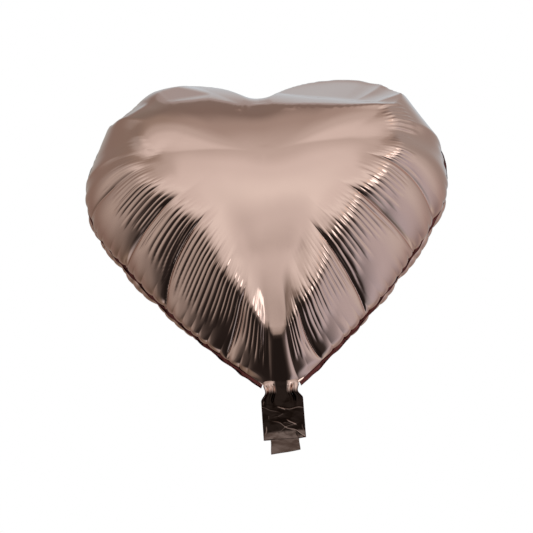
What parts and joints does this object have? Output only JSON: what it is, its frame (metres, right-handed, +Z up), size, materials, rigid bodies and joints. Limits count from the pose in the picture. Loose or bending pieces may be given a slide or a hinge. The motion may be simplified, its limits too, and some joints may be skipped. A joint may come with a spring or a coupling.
{
  "type": "heart-shaped foil balloon",
  "caption": "Inflated heart-shaped balloon of two welded metallised films, with a gathered neck, a flat filling tail and a film valve tongue inside.",
  "frame": {"origin": "middle of the neck, where a ribbon is tied, in the plane of the weld", "axes": "+X to the viewer's right along the heart's width, +Y from the front panel to the back panel, +Z up from the neck to the lobes"},
  "size_m": [0.3678, 0.1832, 0.407],
  "materials": {
    "rose_gold_foil": "mirror-bright metallised film, rose gold",
    "welded_foil": "heat-welded metallised film, puckered, darker than the panels",
    "tail_foil": "creased metallised film, rose gold",
    "valve_film": "clear polyethylene film, slightly hazy"
  },
  "bodies": {
    "balloon": {"front_foil": "rose_gold_foil", "back_foil": "rose_gold_foil", "seam_weld": "welded_foil", "neck_front_foil": "rose_gold_foil", "neck_back_foil": "rose_gold_foil", "throat_front_film": "valve_film", "throat_back_film": "valve_film"},
    "tail": {"tail_front_foil": "tail_foil", "tail_back_foil": "tail_foil", "tail_left_weld": "welded_foil", "tail_right_weld": "welded_foil", "inlet_front_film": "valve_film", "inlet_back_film": "valve_film"},
    "lip": {"mouth_lip": "tail_foil"},
    "tongue": {"tongue_front_film": "valve_film", "tongue_back_film": "valve_film", "tongue_left_weld": "valve_film", "tongue_right_weld": "valve_film"}
  },
  "joints": [
    {"name": "tail_fold", "type": "hinge", "parent": "balloon", "child": "tail", "pos_m": [0, 0, -0.0073], "axis": [1, 0, 0], "range_deg": [-120, 120]},
    {"name": "lip_fold", "type": "hinge", "parent": "tail", "child": "lip", "pos_m": [0, 0, -0.0539], "axis": [1, 0, 0], "range_deg": [-90, 90]},
    {"name": "tongue_sway", "type": "hinge", "parent": "balloon", "child": "tongue", "pos_m": [0, 0, 0.01], "axis": [1, 0, 0], "range_deg": [-25, 25], "stiffness_Nm_per_rad": 0.002}
  ]
}
